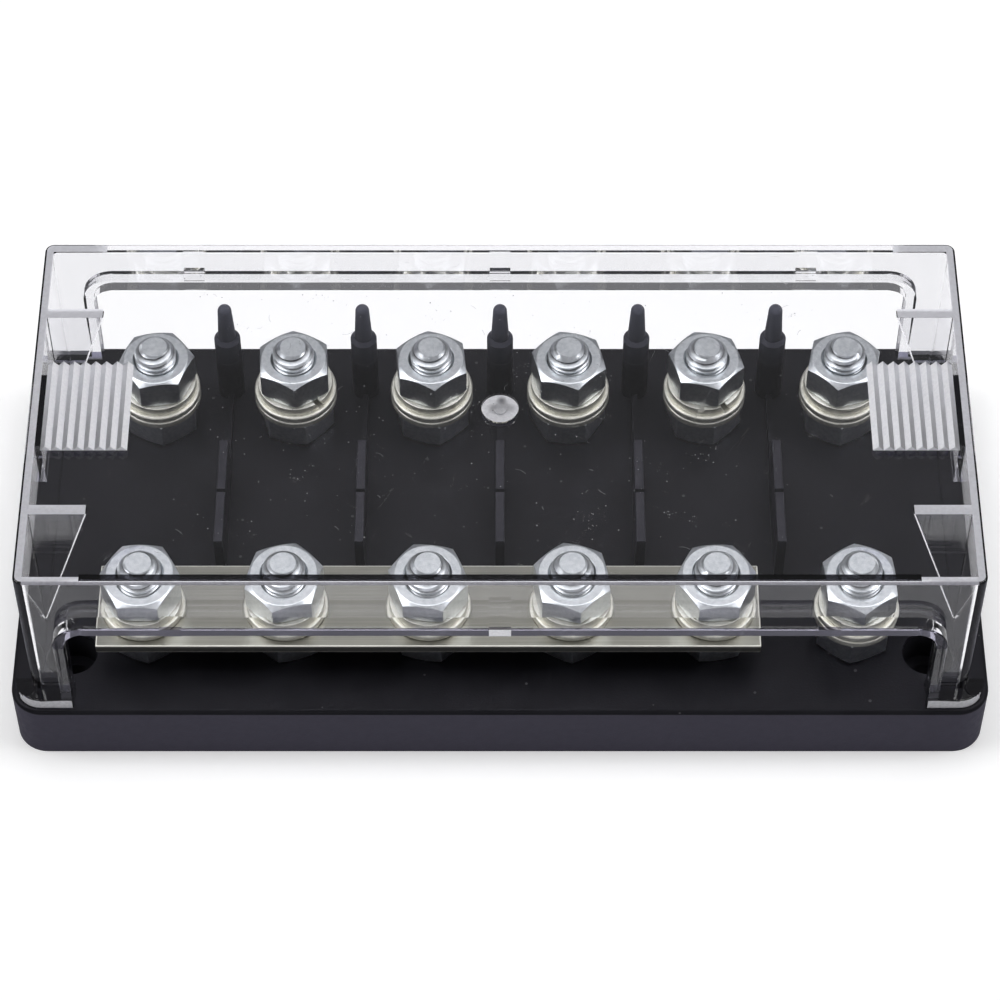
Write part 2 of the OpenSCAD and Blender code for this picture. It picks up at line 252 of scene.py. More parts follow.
# %% Tiny specks
specks, ends_in, ends_out = effect_group("specks", {"Scale": 400, "Size": 0.15, "Share": 0.1}, "Mask")
place = add(specks, "ShaderNodeTexCoord")
cells = add(specks, "ShaderNodeTexVoronoi")
lot = add(specks, "ShaderNodeSeparateColor")
wire(specks,
     (place.outputs["Object"], cells.inputs["Vector"]),
     (ends_in.outputs["Scale"], cells.inputs["Scale"]),
     (cells.outputs["Color"], lot.inputs["Color"]))
near = calc(specks, "LESS_THAN", cells.outputs["Distance"], ends_in.outputs["Size"])
drawn = calc(specks, "LESS_THAN", lot.outputs["Red"], ends_in.outputs["Share"])
wire(specks, (calc(specks, "MULTIPLY", near, drawn), ends_out.inputs["Mask"]))

# %% Hairline scratches
scratches, ends_in, ends_out = effect_group(
    "scratches", {"Scale": 60, "Turn": 0.6, "Width": 0.004, "Share": 0.5}, "Mask")
place = add(scratches, "ShaderNodeTexCoord")
turn = add(scratches, "ShaderNodeVectorRotate", rotation_type="Z_AXIS")
narrow = add(scratches, "ShaderNodeVectorMath", operation="MULTIPLY")
narrow.inputs[1].default_value = (1, 0.06, 1)
waves = add(scratches, "ShaderNodeTexNoise")
patch = add(scratches, "ShaderNodeTexNoise")
patch.inputs["Scale"].default_value = 90
wire(scratches,
     (place.outputs["Object"], turn.inputs["Vector"]),
     (ends_in.outputs["Turn"], turn.inputs["Angle"]),
     (turn.outputs["Vector"], narrow.inputs[0]),
     (narrow.outputs["Vector"], waves.inputs["Vector"]),
     (ends_in.outputs["Scale"], waves.inputs["Scale"]),
     (place.outputs["Object"], patch.inputs["Vector"]))
middle = calc(scratches, "ABSOLUTE", calc(scratches, "SUBTRACT", waves.outputs["Fac"], 0.5))
line = calc(scratches, "LESS_THAN", middle, ends_in.outputs["Width"])
kept = calc(scratches, "LESS_THAN", patch.outputs["Fac"], ends_in.outputs["Share"])
wire(scratches, (calc(scratches, "MULTIPLY", line, kept), ends_out.inputs["Mask"]))
print("effects:", [g.name for g in bpy.data.node_groups])

# %% [markdown]
# ## Finishes
# The holder has five: black moulded plastic, clear plastic, a brushed plated bar, warm plated washers
# and bright zinc on bolts and nuts. The clear plastic also has milky and tinted spots, and the bar has
# edges painted pale as a painted highlight. A Principled shader carries each one. The effects above
# steer its colour, roughness and bump, while anything constant is set on the shader itself.

# %% Helpers for finishes
def effect(tree, group, **values):
    """Places an effect group in a material and gives back its output."""
    made = add(tree, "ShaderNodeGroup", node_tree=group)
    for title, value in values.items():
        made.inputs[title].default_value = value
    return made.outputs[0]


def bump(tree, shader, height, strength, depth):
    """Lets a height socket dent the surface."""
    made = add(tree, "ShaderNodeBump")
    made.inputs["Strength"].default_value = strength
    made.inputs["Distance"].default_value = depth
    tree.links.new(height, made.inputs["Height"])
    tree.links.new(made.outputs["Normal"], shader.inputs["Normal"])


def part_axes(tree):
    """The sockets X, Y and Z of a point's place on the part."""
    split = add(tree, "ShaderNodeSeparateXYZ")
    tree.links.new(add(tree, "ShaderNodeTexCoord").outputs["Object"], split.inputs["Vector"])
    return split.outputs


# %% [markdown]
# The base is satin black, but not all over: its outer sides are painted violet grey as a painted
# reflection of the white floor, painted light makes it paler with height towards the tips of the posts,
# and a patchy painted sheen lightens the top edges of the dividers. Each zone could be a material of
# its own. Here masks tell the zones by their place on the part, so that one finish covers the base: the
# sides lie below the rim and further out than the mounting holes, and whatever else lies below the rim
# is inside a hole, where the plastic is dull.

# %% Black moulding
sides_x, sides_y, rim_z = 87 * MM, 39 * MM, 12.6 * MM
post_low, post_high = 22 * MM, 38 * MM
divider_top = 24.5 * MM
black_moulding, tree, shader = new_finish("black_moulding_satin")
shader.inputs["Specular IOR Level"].default_value = 0.19
shader.inputs["Specular Tint"].default_value = (0.9, 0.88, 1, 1)
cloudy = effect(tree, mottle, Scale=120)
shade = blend_colour(tree, cloudy, (0.0032, 0.0032, 0.0042), (0.006, 0.006, 0.0075))
dust = effect(tree, specks, Scale=420, Size=0.13, Share=0.10)
shade = blend_colour(tree, dust, shade, (0.05, 0.05, 0.053))
axes = part_axes(tree)
far_x = calc(tree, "GREATER_THAN", calc(tree, "ABSOLUTE", axes["X"]), sides_x)
far_y = calc(tree, "GREATER_THAN", calc(tree, "ABSOLUTE", axes["Y"]), sides_y)
under = calc(tree, "LESS_THAN", axes["Z"], rim_z)
sides = calc(tree, "MULTIPLY", under, calc(tree, "MAXIMUM", far_x, far_y))
holes = calc(tree, "SUBTRACT", under, sides)
# Painted reflection: the outer sides below the rim are violet grey, for the white floor they mirror.
shade = blend_colour(tree, sides, shade, (0.045, 0.042, 0.06))
# Painted light: the colour grows paler with height, towards the tips of the posts.
rise = add(tree, "ShaderNodeMapRange")
rise.inputs["From Min"].default_value = post_low
rise.inputs["From Max"].default_value = post_high
tree.links.new(axes["Z"], rise.inputs["Value"])
shade = blend_colour(tree, rise.outputs["Result"], shade, (0.05, 0.052, 0.068))
# Painted sheen: the top edges of the dividers are painted paler, in patches.
above = calc(tree, "GREATER_THAN", axes["Z"], divider_top - 0.3 * MM)
below = calc(tree, "LESS_THAN", axes["Z"], divider_top + 0.1 * MM)
divider_sheen = calc(tree, "MULTIPLY", calc(tree, "MULTIPLY", above, below),
               effect(tree, mottle, Scale=500, Low=0.3, High=1))
tree.links.new(blend_colour(tree, divider_sheen, shade, (0.027, 0.026, 0.032)), shader.inputs["Base Color"])
gloss = calc(tree, "MAXIMUM", effect(tree, mottle, Scale=700, Low=0.36, High=0.5), holes)
tree.links.new(gloss, shader.inputs["Roughness"])
bump(tree, shader, effect(tree, mottle, Scale=2600), 0.16, 0.06 * MM)

# %% [markdown]
# The clear cover is solid moulded plastic, so its walls must bend light as real ones do. The shader
# is clear all through and faintly violet along the thick edges by absorption. Hairlines from wiping
# lie on the top plate only, so their mask is cut off below it. The real plate is rounded inside, where
# it meets the front wall, and that curve turns light away in a dark line; here a painted shade line
# stands for it, and another painted shade darkens the front of the lip. Lamps would cast the cover a
# dark shadow, because glass stops direct light here, so rays that only ask for a lamp's light pass
# straight through.

# %% Clear moulding
plastic_bend = 1.5
clear_tint = (0.985, 0.985, 0.995)
shade_line_y, shade_line_half, shade_line_reach = -38.55 * MM, 0.74 * MM, 75.3 * MM
lip_front_y, lip_low_z = -42.1 * MM, 33 * MM
hairline_gloss = 0.16
clear_moulding, tree, shader = new_finish("clear_moulding_polished")
shader.inputs["Transmission Weight"].default_value = 1
shader.inputs["IOR"].default_value = plastic_bend
axes = part_axes(tree)
on_top = calc(tree, "GREATER_THAN", axes["Z"], cad_high.z - 1.4 * MM)
# Painted shade: a dark line along the front of the top plate, for the light that the rounded inner
# corner turns away.
from_line = calc(tree, "ABSOLUTE", calc(tree, "SUBTRACT", axes["Y"], shade_line_y))
along = calc(tree, "LESS_THAN", calc(tree, "ABSOLUTE", axes["X"]), shade_line_reach)
painted_shade_line = calc(tree, "MULTIPLY", calc(tree, "LESS_THAN", from_line, shade_line_half), along)
painted_shade_line = calc(tree, "MULTIPLY", painted_shade_line, on_top)
shade = blend_colour(tree, painted_shade_line, clear_tint, (0.002, 0.002, 0.003))
# Painted shade: the front of the lip is tinted dark.
lip_front = calc(tree, "MULTIPLY", calc(tree, "LESS_THAN", axes["Y"], lip_front_y),
                 calc(tree, "GREATER_THAN", axes["Z"], lip_low_z))
tree.links.new(blend_colour(tree, lip_front, shade, (0.2, 0.19, 0.27)), shader.inputs["Base Color"])
marks = calc(tree, "MAXIMUM", effect(tree, scratches, Scale=190, Turn=0.5, Width=0.0016, Share=0.4),
             effect(tree, scratches, Scale=150, Turn=2.2, Width=0.0014, Share=0.4))
marks = calc(tree, "MULTIPLY", marks, on_top)
tree.links.new(calc(tree, "MULTIPLY", marks, hairline_gloss), shader.inputs["Roughness"])

# %% The way of light through the clear moulding
open_way = add(tree, "ShaderNodeBsdfTransparent")
open_way.inputs["Color"].default_value = (*clear_tint, 1)
rays = add(tree, "ShaderNodeLightPath").outputs
choice = add(tree, "ShaderNodeMixShader")
depth = add(tree, "ShaderNodeVolumeAbsorption")
depth.inputs["Color"].default_value = (0.74, 0.73, 0.9, 1)
depth.inputs["Density"].default_value = 9
result = tree.nodes["Material Output"]
wire(tree,
     (rays["Is Shadow Ray"], choice.inputs["Fac"]),
     (shader.outputs["BSDF"], choice.inputs[1]),
     (open_way.outputs["BSDF"], choice.inputs[2]),
     (choice.outputs["Shader"], result.inputs["Surface"]),
     (depth.outputs["Volume"], result.inputs["Volume"]))

# %% [markdown]
# Some spots of the cover are not polished but milky: the gate where the plastic was let in, the rims
# of the feet, the sunk lines above walls and gussets, and the front rim, which is also tinted. The
# ribs of the grips are a little hazy, and their faces towards the middle and their ends are painted
# milky white as a painted highlight. A rough clear shader alone stays dark over the black base, so
# part of its light is scattered instead. The gate also has a torn scar of five small dark lobes, drawn
# by their distance from five points, each with its place, reach and strength.

# %% Frosted spots
scar = ((0.3, 2.2, 0.8, 0.8), (0.35, 1.2, 1.2, 0.55), (-1.2, 0.3, 1.0, 0.5),
        (1.85, 0.4, 0.95, 0.45), (0.2, -0.5, 1.0, 0.3))
scar_z = cad_high.z - 1.75 * MM
lobe_edge, lobe_core = 1.35 * MM, 0.35 * MM


def frosted(name, clear, dull=(0.8, 0.8, 0.86), pale=(0.93, 0.93, 1.0), lobes=()):
    """Milky plastic that lets a share of the light through, with the dark lobes of a scar if given."""
    finish, tree, shader = new_finish(name)
    shader.inputs["Transmission Weight"].default_value = clear
    shader.inputs["IOR"].default_value = plastic_bend
    grit = effect(tree, mottle, Scale=1800)
    shade = blend_colour(tree, grit, dull, pale)
    spot = add(tree, "ShaderNodeTexCoord").outputs["Object"]
    for x, y, reach, share in lobes:
        from_lobe = add(tree, "ShaderNodeVectorMath", operation="DISTANCE")
        from_lobe.inputs[1].default_value = (x * MM, y * MM, scar_z)
        tree.links.new(spot, from_lobe.inputs[0])
        fade = add(tree, "ShaderNodeMapRange")
        fade.inputs["From Min"].default_value = reach * lobe_edge
        fade.inputs["From Max"].default_value = reach * lobe_core
        fade.inputs["To Max"].default_value = share
        tree.links.new(from_lobe.outputs["Value"], fade.inputs["Value"])
        shade = blend_colour(tree, fade.outputs["Result"], shade, (0.05, 0.05, 0.065))
    tree.links.new(shade, shader.inputs["Base Color"])
    tree.links.new(effect(tree, mottle, Scale=900, Low=0.4, High=0.6), shader.inputs["Roughness"])
    bump(tree, shader, grit, 0.3, 0.05 * MM)
    return finish


frosted_moulding = frosted("clear_moulding_frosted", 0.45, (0.7, 0.7, 0.74), (0.9, 0.9, 0.94), scar)
# Painted highlight: the milky white finish for rib faces towards the middle.
lit_rib_faces = frosted("clear_moulding_rib_highlight", 0.2, (0.86, 0.86, 0.9), (0.97, 0.97, 1.0))
sunk_lines = frosted("clear_moulding_sunk", 0.5)
hazy_slopes = frosted("clear_moulding_hazy", 0.94)
violet_rim = frosted("clear_moulding_rim", 0.45, (0.42, 0.41, 0.47), (0.56, 0.55, 0.62))

# %% [markdown]
# The metals differ in colour, gloss and grain only, so one function makes them all. Their gloss varies
# within a narrow range, because a wide one shows as blotches where the edge of a soft box is mirrored.

# %% Plated metals
painted_root_shade, root_strength = (0.04, 0.042, 0.048), 0.9


def plated(name, dark, light, rough, grain, relief, stretch=None):
    """Metal with two shades of plating, a changing gloss and a grain, brushed where stretch is given.

    The roots of a thread, which carry the attribute groove, are painted dark as painted shade.
    """
    finish, tree, shader = new_finish(name)
    shader.inputs["Metallic"].default_value = 1
    if stretch:
        tone = effect(tree, brushing, Scale=grain, Stretch=stretch)
    else:
        tone = effect(tree, mottle, Scale=grain)
    # Painted shade in the thread roots, read from the attribute groove.
    in_root = add(tree, "ShaderNodeAttribute", attribute_name="groove").outputs["Fac"]
    in_root = calc(tree, "MULTIPLY", in_root, root_strength)
    shade = blend_colour(tree, in_root, blend_colour(tree, tone, dark, light), painted_root_shade)
    tree.links.new(shade, shader.inputs["Base Color"])
    gloss = calc(tree, "ADD", calc(tree, "MULTIPLY", tone, rough[1] - rough[0]), rough[0])
    tree.links.new(gloss, shader.inputs["Roughness"])
    bump(tree, shader, tone, relief, 0.02 * MM)
    return finish


plated_bar = plated("plated_bar_brushed", (0.205, 0.2, 0.175), (0.36, 0.355, 0.315),
                    rough=(0.29, 0.35), grain=2600, relief=0.1, stretch=0.012)
# Painted highlight: pale plating for the bar's broken edges.
bar_edge_highlight = plated("plated_bar_edge_highlight", (0.7, 0.69, 0.63), (0.88, 0.87, 0.81),
                    rough=(0.6, 0.68), grain=2600, relief=0.1, stretch=0.012)
washer_plating = plated("washer_plating_warm", (0.68, 0.67, 0.6), (0.82, 0.81, 0.74),
                        rough=(0.45, 0.49), grain=1100, relief=0.02)
zinc_plating = plated("zinc_plating_bright", (0.64, 0.675, 0.705), (0.81, 0.835, 0.86),
                      rough=(0.29, 0.32), grain=1300, relief=0.02)
print("finishes:", [m.name for m in bpy.data.materials])

# %% [markdown]
# ## Turning a shape into a piece of the holder
# Every new piece ends the same way: doubled points are merged, faces are turned outwards, a narrow
# bevel breaks the sharp edges as plating or moulding does where a width is given, and the piece is
# tied to its CAD body while the CAD nodes it stands for are hidden. One function does that, so the
# cells below only have to make shapes. Points closer than weld are one point, heights closer than
# close are one height, and margin is clearly more than that.

# %% Finish a piece
sharp = math.radians(28)
weld, close, margin = 0.002 * MM, 0.01 * MM, 0.1 * MM


def make_piece(name, shape, finish, body, nodes, edge, steps=2):
    """Makes an object from a bmesh, breaks its edges by the given width and ties it to the frame."""
    bmesh.ops.remove_doubles(shape, verts=shape.verts, dist=weld)
    bmesh.ops.recalc_face_normals(shape, faces=shape.faces)
    shape.normal_update()
    for face in shape.faces:
        face.smooth = True
    for e in shape.edges:
        e.smooth = e.calc_face_angle(0) < sharp
    mesh = bpy.data.meshes.new(name)
    shape.to_mesh(mesh)
    shape.free()
    mesh.materials.append(finish)
    piece = bpy.data.objects.new(name, mesh)
    bpy.context.scene.collection.objects.link(piece)
    if edge:
        soft = piece.modifiers.new("broken_edges", "BEVEL")
        soft.width, soft.segments, soft.limit_method = edge, steps, "ANGLE"
        soft.angle_limit, soft.harden_normals = sharp, True
    else:
        even = piece.modifiers.new("even_faces", "WEIGHTED_NORMAL")
        even.keep_sharp = True
    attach(piece, body)
    if nodes:
        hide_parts(*nodes)
    return piece


def axis_of(node):
    """The upright axis through a CAD node: its place in plan, and its lowest and highest height."""
    low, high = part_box(node)
    return (low.x + high.x) / 2, (low.y + high.y) / 2, low.z, high.z


ways = [(row, i) for row in ("rear", "front") for i in range(1, 7)]
studs = {way: axis_of("stud_bolt_{}_{}".format(*way)) for way in ways}

# %% [markdown]
# ## Threaded bolts
# Each stud is an M8 bolt pushed up through the base, with a pitch of 1.25 mm. The CAD has a plain rod,
# because threads would only slow the physics down, but the bright turns above every nut are what the
# eye goes to. A thread can be faked with a bump map or made by a Screw modifier. Here one groove
# profile is spun round the axis while it climbs, then cut off level and drawn in towards its end, so
# the turns run on over the taper as rolled ones do, up to a short plain tip.

# %% One thread
pitch, steps_round = 1.25 * MM, 36
crest, root = 4.0 * MM, 3.4 * MM
groove = ((0, root), (0.06, root), (0.32, crest), (0.66, crest), (0.92, root), (1, root))
thread_weld = 0.005 * MM
taper, draw_in = 1.7 * MM, 0.9
tip, tip_ease = 0.25 * MM, 0.07 * MM


def spin_round(shape, start, angle=2 * math.pi, steps=72, climb=0.0, joined=True):
    """Spins a chain of vertices round the upright axis, climbing a little at every step if asked."""
    links = [shape.edges.new(pair) for pair in zip(start, start[1:])]
    bmesh.ops.spin(shape, geom=start + links, cent=(0, 0, 0), axis=(0, 0, 1), dvec=(0, 0, climb),
                   angle=angle, steps=steps, use_merge=joined)


def level_cut(shape, height, up, cut_off=True):
    """Cuts the shape level at a height; what lies beyond is cut off and the cut closed, unless kept."""
    parts = shape.verts[:] + shape.edges[:] + shape.faces[:]
    cut = bmesh.ops.bisect_plane(shape, geom=parts, plane_co=(0, 0, height), plane_no=(0, 0, up),
                                 clear_outer=cut_off)
    if cut_off:
        rim = [e for e in cut["geom_cut"] if isinstance(e, bmesh.types.BMEdge)]
        bmesh.ops.contextual_create(shape, geom=rim)


def drawn_in(height, top):
    """How far the taper pulls a point towards the axis at a height, on a thread that ends at top."""
    return draw_in * max(0, height - top + taper)


def threaded_rod(low, high):
    """M8 thread between two heights that tapers at its upper end, standing on the origin's axis."""
    shape = bmesh.new()
    turns = math.ceil((high - low) / pitch) + 2
    start = [shape.verts.new((r, 0, low + (t - 1) * pitch)) for t, r in groove]
    spin_round(shape, start, 2 * math.pi * turns, steps_round * turns, pitch / steps_round, False)
    bmesh.ops.remove_doubles(shape, verts=shape.verts, dist=thread_weld)
    level_cut(shape, low, -1)
    level_cut(shape, high, 1)
    level_cut(shape, high - tip, 1, cut_off=False)
    for v in shape.verts:
        reach = math.hypot(v.co.x, v.co.y)
        on_tip = v.co.z > high - tip - close
        turned = (crest - tip_ease if on_tip else reach) - drawn_in(v.co.z, high)
        if reach > margin:
            v.co.x *= turned / reach
            v.co.y *= turned / reach
    return shape


# %% [markdown]
# ## Hexagons
# Bolt heads and nuts are 13 mm across their flats, and a 30 degree chamfer on the faces leaves curved
# corners. A prism with six sides has no such curve. So a ring is spun with a step every five degrees,
# and its outside is then drawn in to the hexagon; wherever the wall lies further out, the chamfer's
# cone meets it lower, and the curves come by themselves.

# %% A turned ring drawn in to a hexagon
flats = 13 * MM
face_reach = 0.95 * flats / 2
outside = 10 * MM
chamfer = math.radians(30)
lead = 0.4 * MM


def hexagon_shape(low, high, corner, bore, chamfers):
    """Hexagon between two heights with one corner at the given angle; chamfers is (below, above)."""
    shape = bmesh.new()
    section = [(face_reach, low), (outside, low), (outside, high), (face_reach, high)]
    if bore:
        lead_in = [(bore, low + lead), (bore + lead, low)]
        lead_out = [(bore + lead, high), (bore, high - lead)]
        section = lead_in + section + lead_out + lead_in[:1]
    else:
        section = [(0, low)] + section + [(0, high)]
    start = [shape.verts.new((r * math.cos(corner), r * math.sin(corner), z)) for r, z in section]
    spin_round(shape, start)
    bmesh.ops.remove_doubles(shape, verts=shape.verts, dist=weld)
    for v in shape.verts:
        reach = math.hypot(v.co.x, v.co.y)
        if reach < outside - margin:
            continue
        from_corner = (math.atan2(v.co.y, v.co.x) - corner) % (math.pi / 3)
        wall = flats / 2 / math.cos(from_corner - math.pi / 6)
        drop = (wall - face_reach) * math.tan(chamfer)
        above = v.co.z > (low + high) / 2
        v.co.x *= wall / reach
        v.co.y *= wall / reach
        v.co.z += (-drop if above else drop) * chamfers[above]
    return shape


# %% Twelve bolts
head_top, overlap = 5.8 * MM, 0.4 * MM
turn_between = 0.9
bolt_high = studs["rear", 1][3]
rod = threaded_rod(head_top - overlap, bolt_high)
rod_mesh = bpy.data.meshes.new("one_thread")
rod.to_mesh(rod_mesh)
rod.free()
for number, (row, i) in enumerate(ways):
    x, y, low, high = studs[row, i]
    bolt = hexagon_shape(low, head_top, -math.pi / 2, 0, (1, 0))
    groove_share = bolt.verts.layers.float.new("groove")
    head = set(bolt.verts)
    bolt.from_mesh(rod_mesh)
    thread = [v for v in bolt.verts if v not in head]
    # Painted shade: how deep each point lies in a groove, which darkens the thread roots.
    for v in thread:
        depth_in = crest - math.hypot(v.co.x, v.co.y) - drawn_in(v.co.z, high)
        on_tip = v.co.z > high - tip - close
        v[groove_share] = 0 if on_tip else min(1, max(0, depth_in / (crest - root)))
    turn = Matrix.Rotation(turn_between * number, 3, "Z")
    bmesh.ops.rotate(bolt, cent=(0, 0, 0), matrix=turn, verts=thread)
    bmesh.ops.translate(bolt, vec=(x, y, 0), verts=bolt.verts)
    node = f"stud_bolt_{row}_{i}"
    make_piece(f"bolt_{row}_{i}", bolt, zinc_plating, "base", [node], None)
bpy.data.meshes.remove(rod_mesh)
print("bolts:", len(ways), "thread turns:", round((bolt_high - head_top) / pitch, 1))

# %% [markdown]
# A nut stops wherever it is tight, so no two stand alike. The CAD's corners are read back and kept,
# except on the clamp nuts of the front row, which are set to the turns that the photograph shows.

# %% Twenty-four nuts
bore = 4.05 * MM
nut_edge = 0.12 * MM
seen_turn = {("front", i + 1): turn for i, turn in enumerate((29, -15, 22, 12, -26, 5))}


def corner_angle(node):
    """The direction of one corner of a CAD hexagon, read from the point that lies furthest out."""
    x, y = axis_of(node)[:2]
    points = [v.co - Vector((x, y, 0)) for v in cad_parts[node].data.vertices]
    far = max(points, key=lambda p: math.hypot(p.x, p.y))
    return math.atan2(far.y, far.x)


for row, i in ways:
    for kind, body in (("seat_nut", "base"), ("clamp_nut", f"clamp_nut_{row}_{i}")):
        node = f"{kind}_{row}_{i}"
        x, y, low, high = axis_of(node)
        corner = corner_angle(node)
        if kind == "clamp_nut" and (row, i) in seen_turn:
            corner = math.radians(seen_turn[row, i] - 90)
        nut = hexagon_shape(low, high, corner, bore, (1, 1))
        bmesh.ops.translate(nut, vec=(x, y, 0), verts=nut.verts)
        make_piece(f"{kind}_plated_{row}_{i}", nut, zinc_plating, body, [node], nut_edge)
print("nuts:", 2 * len(ways))

# %% [markdown]
# ## Washers
# Flat washers are punched from sheet, so their upper rim is rolled over a little. A ring spun from an
# oblong section with a broken edge shows that. Spring washers are square wire with one slanting cut:
# the ring is spun not quite round, closed at both ends, and its layers are turned a little against
# each other so that the cut leans.

# %% Flat washers
stud_hole, washer_reach, washer_edge = 4.2 * MM, 8 * MM, 0.4 * MM
near_stud = 9 * MM


def welded_since(shape, old):
    """Merges doubled points among those added since old was noted, and gives back what is left."""
    bmesh.ops.remove_doubles(shape, verts=[v for v in shape.verts if v not in old], dist=weld)
    return [v for v in shape.verts if v not in old]


def ring(shape, reach, low, high, place, gap=0.0, first=0.0):
    """Adds a ring of oblong section round a stud; one with a gap gets two closed ends."""
    old = set(shape.verts)
    section = [(stud_hole, low), (reach, low), (reach, high), (stud_hole, high), (stud_hole, low)]
    start = [shape.verts.new((r * math.cos(first), r * math.sin(first), z)) for r, z in section]
    spin_round(shape, start, 2 * math.pi - gap, joined=not gap)
    made = welded_since(shape, old)
    if gap:
        bmesh.ops.holes_fill(shape, edges=[e for e in shape.edges if e.is_boundary], sides=4)
    bmesh.ops.translate(shape, vec=(*place, 0), verts=made)
    return made


for layer in ("lower", "upper"):
    for row in ("rear", "front"):
        node = f"{layer}_washers_{row}"
        points = [v.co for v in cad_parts[node].data.vertices]
        shape, rings = bmesh.new(), 0
        for i in range(1, 7):
            x, y = studs[row, i][:2]
            heights = [p.z for p in points if abs(p.x - x) < near_stud]
            if heights:
                ring(shape, washer_reach, min(heights), max(heights), (x, y))
                rings += 1
        make_piece(f"flat_washers_{layer}_{row}", shape, washer_plating, "base", [node],
                   washer_edge, 3)
        print(node, "rings:", rings)

# %% Spring washers
spring_reach, spring_edge = 7.3 * MM, 0.18 * MM
cut_turn = {"rear": (140, -47, 100, 160, -58, 110), "front": (150, 60, 120, 80, 130, 40)}
cut_width, wire_middle, cut_lean = 0.9 * MM, 5.8 * MM, math.radians(25)
gap = cut_width / wire_middle
for row, i in ways:
    node = f"spring_washer_{row}_{i}"
    x, y = studs[row, i][:2]
    low, high = (corner.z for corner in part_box(node))
    first = math.radians(cut_turn[row][i - 1]) + gap / 2
    shape = bmesh.new()
    for v in ring(shape, spring_reach, low, high, (0, 0), gap, first):
        lean = (v.co.z - (low + high) / 2) * math.tan(cut_lean) / math.hypot(v.co.x, v.co.y)
        v.co = Matrix.Rotation(-lean, 3, "Z") @ v.co
    bmesh.ops.translate(shape, vec=(x, y, 0), verts=shape.verts)
    make_piece(f"spring_ring_{row}_{i}", shape, washer_plating, "base", [node],
               spring_edge)
print("spring washers:", len(ways))

# %% [markdown]
# ## Bar, cover and base
# These three come from the CAD with their right shapes. They only lack the tiny rounding of a sheared
# and of a moulded edge, which is what draws the bright lines along them, so each gets a joined-up copy
# on which chosen edges are bevelled. A modifier could bevel every edge, but the tiny facets on the
# curves would hold its width down to nothing. The bar's broken edges are painted pale as a painted
# highlight, so they have a finish of their own.

# %% Common bar
cad_weld = 0.005 * MM
same_plane = math.radians(0.4)


def copied_shape(node):
    """A copy of a CAD node's mesh with its loose triangles joined up and its flat faces made whole."""
    shape = bmesh.new()
    shape.from_mesh(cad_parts[node].data)
    bmesh.ops.remove_doubles(shape, verts=shape.verts, dist=cad_weld)
    bmesh.ops.dissolve_limit(shape, angle_limit=same_plane, verts=shape.verts, edges=shape.edges)
    return shape


def break_edges(shape, width, chosen):
    """Bevels the sharp edges for which chosen(middle, run) is true."""
    edges = []
    for e in shape.edges:
        first, last = (v.co for v in e.verts)
        if e.calc_face_angle(0) > sharp and chosen((first + last) / 2, last - first):
            edges.append(e)
    bmesh.ops.bevel(shape, geom=edges, offset=width, offset_type="OFFSET", segments=3, profile=0.5,
                    affect="EDGES", clamp_overlap=False, material=-1)
    return len(edges)


shape = copied_shape("bus_bar")
broken = break_edges(shape, 0.25 * MM, lambda middle, run: run.length > 1.5 * MM)
shape.normal_update()
# Painted highlight: the slanting faces of the bevels get the pale plating.
for face in shape.faces:
    slanting = 0.2 < abs(face.normal.z) < 0.98
    face.material_index = int(slanting)
bar = make_piece("common_bar", shape, plated_bar, "base", ["bus_bar"], None)
bar.data.materials.append(bar_edge_highlight)
print("edges broken on the bar:", broken)

# %% Clear cover
rib_height, pad_height, foot_height = 1.2 * MM, 0.35 * MM, 2.4 * MM
pad_places, pad_half = (0, 59.5 * MM), 2.8 * MM
shape = copied_shape("cover")
shape.normal_update()
plate_top = cad_high.z - rib_height
lip_face = max(abs(v.co.y) for v in shape.verts) - pad_height
foot_z = min(v.co.z for v in shape.verts) + foot_height


def on_lip(middle, run):
    """True along the outer rim of a lip, clear of its pads and of the feet below it."""
    by_pad = min(abs(abs(middle.x) - pad) for pad in pad_places) < pad_half
    return abs(abs(middle.y) - lip_face) < close and middle.z > foot_z + 0.6 * MM and not by_pad


def on_gusset(middle, run):
    """True along the slanting edges of the corner gussets."""
    return abs(run.x) > 3 * MM and abs(run.z) > 3 * MM


def on_foot(middle, run):
    """True along the upper rim of a foot, outside the walls."""
    outside_wall = abs(middle.y) > lip_face - 2.4 * MM
    return abs(middle.z - foot_z) < close and outside_wall and run.length > 0.2 * MM


broken = break_edges(shape, 0.3 * MM, on_lip)
broken += break_edges(shape, 0.2 * MM, on_gusset)
broken += break_edges(shape, 0.25 * MM, on_foot)
print("edges broken on the cover:", broken)

# %% [markdown]
# Over every wall and gusset the top plate sinks a little as it cools, and these lines look milky from
# above. The plate is cut along them, on its upper face only, so that they can have a finish of their
# own. The fronts of the lips are cut where the feet begin, because the feet are milky too.

# %% Cut the cover where its finish changes
def on_plate(face):
    """True for a flat face on top of the plate."""
    return face.normal.z > 0.99 and abs(face.calc_center_median().z - plate_top) < 2 * close


def plate_faces():
    """The flat faces on top of the plate, as it is cut so far."""
    return [f for f in shape.faces if on_plate(f)]


def cut_across(faces, across, reach):
    """Cuts some faces of the cover by a plane at right angles to an axis."""
    parts = set(faces)
    parts.update([e for f in faces for e in f.edges] + [v for f in faces for v in f.verts])
    bmesh.ops.bisect_plane(shape, geom=list(parts), dist=0.001 * MM, plane_co=Vector(across) * reach,
                           plane_no=across)


